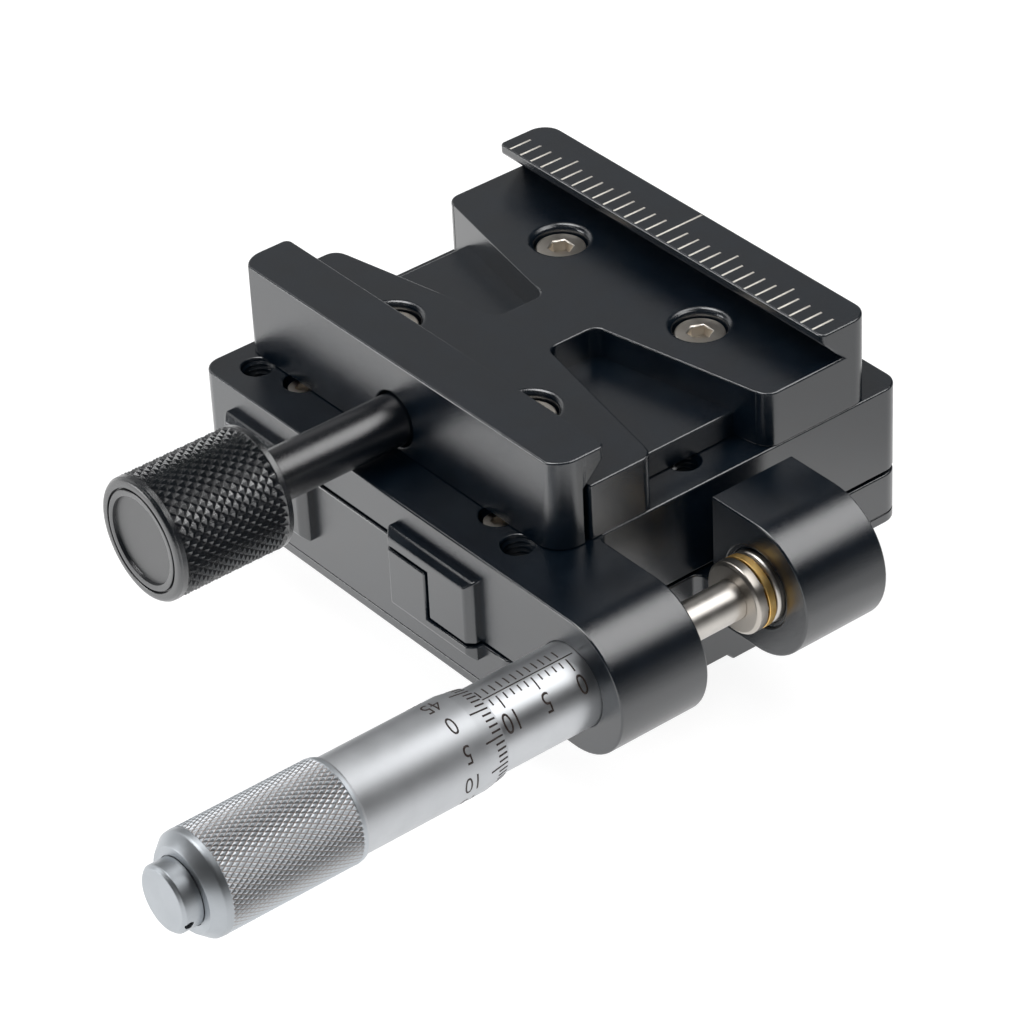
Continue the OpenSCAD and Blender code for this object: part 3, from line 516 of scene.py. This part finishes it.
def addNumber(bm, word, values, radius, phi, y):
    # a number laid round a cylinder: it reads towards -Y, its top towards +phi
    height = values["height"]
    curve = bpy.data.curves.new("number", "FONT")
    curve.body = word
    curve.size = height / digits["capShare"]
    curve.offset = digits["thin"] * curve.size
    curve.align_x = "CENTER"
    curve.align_y = "CENTER"
    curve.resolution_u = digits["curveSteps"]
    source = bpy.data.objects.new("number", curve)
    scene.collection.objects.link(source)
    flat = source.evaluated_get(bpy.context.evaluated_depsgraph_get())
    mesh = bpy.data.meshes.new_from_object(flat)
    piece = bmesh.new()
    piece.from_mesh(mesh)
    # sliced across, so that it can bend
    cut = -height
    while cut < height:
        geom = list(piece.verts) + list(piece.edges) + list(piece.faces)
        bmesh.ops.bisect_plane(piece, geom=geom, plane_co=(0, cut, 0), plane_no=(0, 1, 0),
                               dist=1e-5)
        cut += digits["slice"]
    for v in piece.verts:
        v.co = onCylinder(values["axis"], radius, phi + math.degrees(v.co.y / radius),
                          y - v.co.x * values["wide"])
    piece.to_mesh(mesh)
    piece.free()
    bm.from_mesh(mesh)
    bpy.data.objects.remove(source)
    bpy.data.curves.remove(curve)
    bpy.data.meshes.remove(mesh)


# marks 1 mm apart below the index line, numbered every fifth, and half marks above it
sleeveScale = {
    "axis": screwAxis, "radius": 5.254, "zero": -31.74, "count": 24, "every": 5,
    "index": 10.3, "indexWidth": 1.7, "indexEnds": (-30.5, -55.4), "width": 0.19,
    "below": 13.9, "long": 33.6, "short": 24.0, "half": (-7.5, 6.3), "halfStep": 0.5,
    "height": 2.5, "wide": 0.72, "numberPhi": 50.5,
}


def makeSleeveScale(values):
    bm = bmesh.new()
    axis, radii = values["axis"], (values["radius"], values["radius"])
    index, half = values["index"], values["indexWidth"] / 2
    addArcMark(bm, axis, radii, values["indexEnds"], (index - half, index + half))
    for k in range(values["count"]):
        y = values["zero"] - k
        ys = (y + values["width"] / 2, y - values["width"] / 2)
        numbered = k % values["every"] == 0
        addArcMark(bm, axis, radii, ys,
                   (values["below"], values["long"] if numbered else values["short"]))
        if k < values["count"] - 1:
            addArcMark(bm, axis, radii, [end - values["halfStep"] for end in ys], values["half"])
        if numbered:
            addNumber(bm, str(k), values, values["radius"], values["numberPhi"], y)
    finishInk("sleeveScale", bm, "table", scaleInk)


thimbleScale = {
    "axis": screwAxis, "lines": 50, "every": 5, "zeroPhi": 24.0, "widthPhi": 2.3,
    # numbered lines are a little narrower
    "longShare": 0.9, "edge": -43.72, "short": -45.0, "long": -46.3,
    # the barrel's cone as (y, radius), and how far the ink's middle lies over it
    "cone": ((-43.56, 5.5), (-46.34, 5.93)), "lift": 0.012,
    "height": 2.3, "wide": 0.74, "numberY": -48.9, "numberRadius": 5.954,
}


def makeThimbleScale(values):
    bm = bmesh.new()
    (nearY, nearRadius), (farY, farRadius) = values["cone"]

    def radiusAt(y):
        return between(nearRadius, farRadius, (nearY - y) / (nearY - farY)) + values["lift"]

    for k in range(values["lines"]):
        phi = values["zeroPhi"] + 360 * k / values["lines"]
        half = values["widthPhi"] / 2
        ys = (values["edge"], values["short"])
        if k % values["every"] == 0:
            half *= values["longShare"]
            ys = (values["edge"], values["long"])
            addNumber(bm, str(k), values, values["numberRadius"], phi, values["numberY"])
        addArcMark(bm, values["axis"], [radiusAt(y) for y in ys], ys, (phi - half, phi + half))
    finishInk("thimbleScale", bm, "spindle_group", scaleInk)


# marks across the fixed jaw, the middle one longest and every tenth millimetre longer
ruler = {"z": 39.596, "from": 17.46, "short": 20.75, "long": 21.8, "across": 24.7,
         "width": 0.3, "pitch": 2.0, "count": 29, "every": 10}


def makeRuler(values):
    bm = bmesh.new()
    for k in range(values["count"]):
        x = values["pitch"] * (k - (values["count"] - 1) / 2)
        end = values["long"] if round(x) % values["every"] == 0 else values["short"]
        if x == 0:
            end = values["across"]
        for v, a, b in addGrid(bm, 1, 1):
            side, y = (a - 0.5) * values["width"], between(values["from"], end, b)
            v.co = Vector((x + side, y, values["z"])) * mm
    finishInk("ruler", bm, "table", rulerInk)


makeSleeveScale(sleeveScale)
makeThimbleScale(thimbleScale)
makeRuler(ruler)
print("scales made")

# ---- threads ----
# side is +1 where the hole opens upwards; mouth is the height of its opening
tableThread = {"radius": 2.0, "depth": 0.28, "pitch": 0.7, "steps": 24, "crease": 30,
               "mouth": 27.6, "length": 8.0, "side": 1,
               "places": ((-25, -25), (25, -25), (25, 0), (-25, 0))}
tripodThread = dict(tableThread, radius=3.175, depth=0.5, pitch=1.27, steps=32,
                    mouth=0.0, length=6.5, side=-1, places=((0, 0),))
# shares of the pitch: half widths of the ridge, and how much of the hole stays bare at its
# mouth and in all; inset is how far the root goes into the wall's facets
ridge = {"root": 0.46, "crest": 0.08, "mouthShare": 0.7, "bareShare": 1.6, "inset": 0.01}


def makeThread(name, x, y, body, values):
    # one ridge wound down a hole
    bm = bmesh.new()
    pitch = values["pitch"]
    start = values["mouth"] - values["side"] * pitch * ridge["mouthShare"]
    turns = (values["length"] - pitch * ridge["bareShare"]) / pitch
    low, high = values["radius"] - ridge["inset"], values["radius"] - values["depth"]
    root, crest = ridge["root"], ridge["crest"]
    section = [(low, -root), (high, -crest), (high, crest), (low, root), (low, -root)]
    chain = addChain(bm, [(x + r, y, start + share * pitch) for r, share in section])
    steps = round(turns * values["steps"])
    bmesh.ops.spin(bm, geom=chain, cent=(x * mm, y * mm, 0), axis=(0, 0, 1),
                   angle=math.tau * turns, steps=steps,
                   dvec=(0, 0, -values["side"] * pitch * turns / steps * mm))
    bmesh.ops.remove_doubles(bm, verts=bm.verts, dist=weld)
    bmesh.ops.holes_fill(bm, edges=bm.edges)
    finishPiece(name, bm, body, materials["black_anodised"], values["crease"])


for k, (x, y) in enumerate(tableThread["places"]):
    makeThread("tableThread" + str(k), x, y, "table", tableThread)
for x, y in tripodThread["places"]:
    makeThread("tripodThread", x, y, "base", tripodThread)
print("threads made")

# ---- floor, world and lamps, in metres ----
# in reflections the floor is brighter to the front left and dimmer to the back right
floor = {
    "radius": 2.0, "sides": 96, "drop": 0.00002, "colour": 0.3, "seen": 0.9,
    "across": (0.696, 0.718, 0), "near": 0.76, "side": 0.44, "sideFade": (0.0595, 0.072),
    "front": 1.04, "frontFade": (0.0, 0.05), "far": 0.12, "fade": (0.1, 0.3),
}
world = {
    "horizon": 0.4, "sky": 0.04, "fade": (0.0, 0.2),
    "patches": (
        {"level": 0.31, "towards": (-0.8, 0.5, 0.33), "fade": (0.87, 0.965)},
        {"level": 0.8, "towards": (-0.97, -0.1, 0.12), "fade": (0.9, 0.97)},
        {"level": 1.1, "towards": (-0.8, -0.1, 0.6), "fade": (0.955, 0.985)},
    ),
}
lampAim = (0.02, -0.02, 0.02)
lamps = {
    "box": {"place": (0.091, 0.098, 0.21), "size": 0.165, "radiance": 2.6, "glossy": True},
    "edge": {"place": (-0.34, -0.48, 0.15), "size": 0.26, "radiance": 3.4, "glossy": True},
    "top": {"place": (-0.07, -0.065, 0.36), "size": 0.2, "radiance": 4.2, "glossy": True},
    "front": {"place": (0.38, -0.66, 0.55), "size": 0.5, "radiance": 4.0, "glossy": False},
}


def makeFloor(values):
    bm = bmesh.new()
    bmesh.ops.create_circle(bm, cap_ends=True, segments=values["sides"], radius=values["radius"])
    mesh = bpy.data.meshes.new("floor")
    bm.to_mesh(mesh)
    bm.free()
    made = bpy.data.objects.new("floor", mesh)
    made.location.z = -values["drop"]
    scene.collection.objects.link(made)
    shade = values["colour"]
    material, tree, shader = newMaterial("floorWhite", {
        "Roughness": 1.0, "Specular IOR Level": 0.0, "Base Color": (shade, shade, shade, 1),
        "Emission Color": (1, 1, 1, 1)})
    across = addDot(tree, addCoords(tree, "Object"), values["across"])
    side = addRange(tree, across, values["near"], values["side"], *values["sideFade"])
    front = addRange(tree, addMath(tree, "MULTIPLY", across, -1), 0,
                     values["front"] - values["near"], *values["frontFade"])
    share = addRange(tree, across, 1, values["far"] / values["near"], *values["fade"])
    mirrored = addMath(tree, "MULTIPLY", addMath(tree, "ADD", side, front), share)
    # even for the camera
    seen = tree.nodes.new("ShaderNodeLightPath").outputs["Is Camera Ray"]
    tree.links.new(addRange(tree, seen, mirrored, values["seen"], 0, 1),
                   shader.inputs["Emission Strength"])
    mesh.materials.append(material)


def makeWorld(values):
    made = bpy.data.worlds.new("studio")
    scene.world = made
    made.use_nodes = True
    tree = made.node_tree
    coords = addCoords(tree, "Generated")
    split = tree.nodes.new("ShaderNodeSeparateXYZ")
    tree.links.new(coords, split.inputs["Vector"])
    level = addRange(tree, split.outputs["Z"], values["horizon"], values["sky"], *values["fade"])
    for patch in values["patches"]:
        near = addDot(tree, coords, Vector(patch["towards"]).normalized())
        lit = addRange(tree, near, 0, patch["level"], *patch["fade"])
        level = addMath(tree, "MAXIMUM", level, lit)
    background = tree.nodes["Background"]
    tree.links.new(level, background.inputs["Strength"])
    background.inputs["Color"].default_value = (1, 1, 1, 1)


def makeLamp(name, values):
    data = bpy.data.lights.new(name, "AREA")
    data.shape = "SQUARE"
    data.size = values["size"]
    data.energy = values["radiance"] * math.pi * values["size"] ** 2
    made = bpy.data.objects.new(name, data)
    place = Vector(values["place"])
    turned = (place - Vector(lampAim)).to_track_quat("Z", "Y")
    made.matrix_world = Matrix.Translation(place) @ turned.to_matrix().to_4x4()
    made.visible_glossy = values["glossy"]
    scene.collection.objects.link(made)


makeFloor(floor)
makeWorld(world)
for name, values in lamps.items():
    makeLamp(name, values)
scene.view_settings.view_transform = "Standard"
print("stage lit")
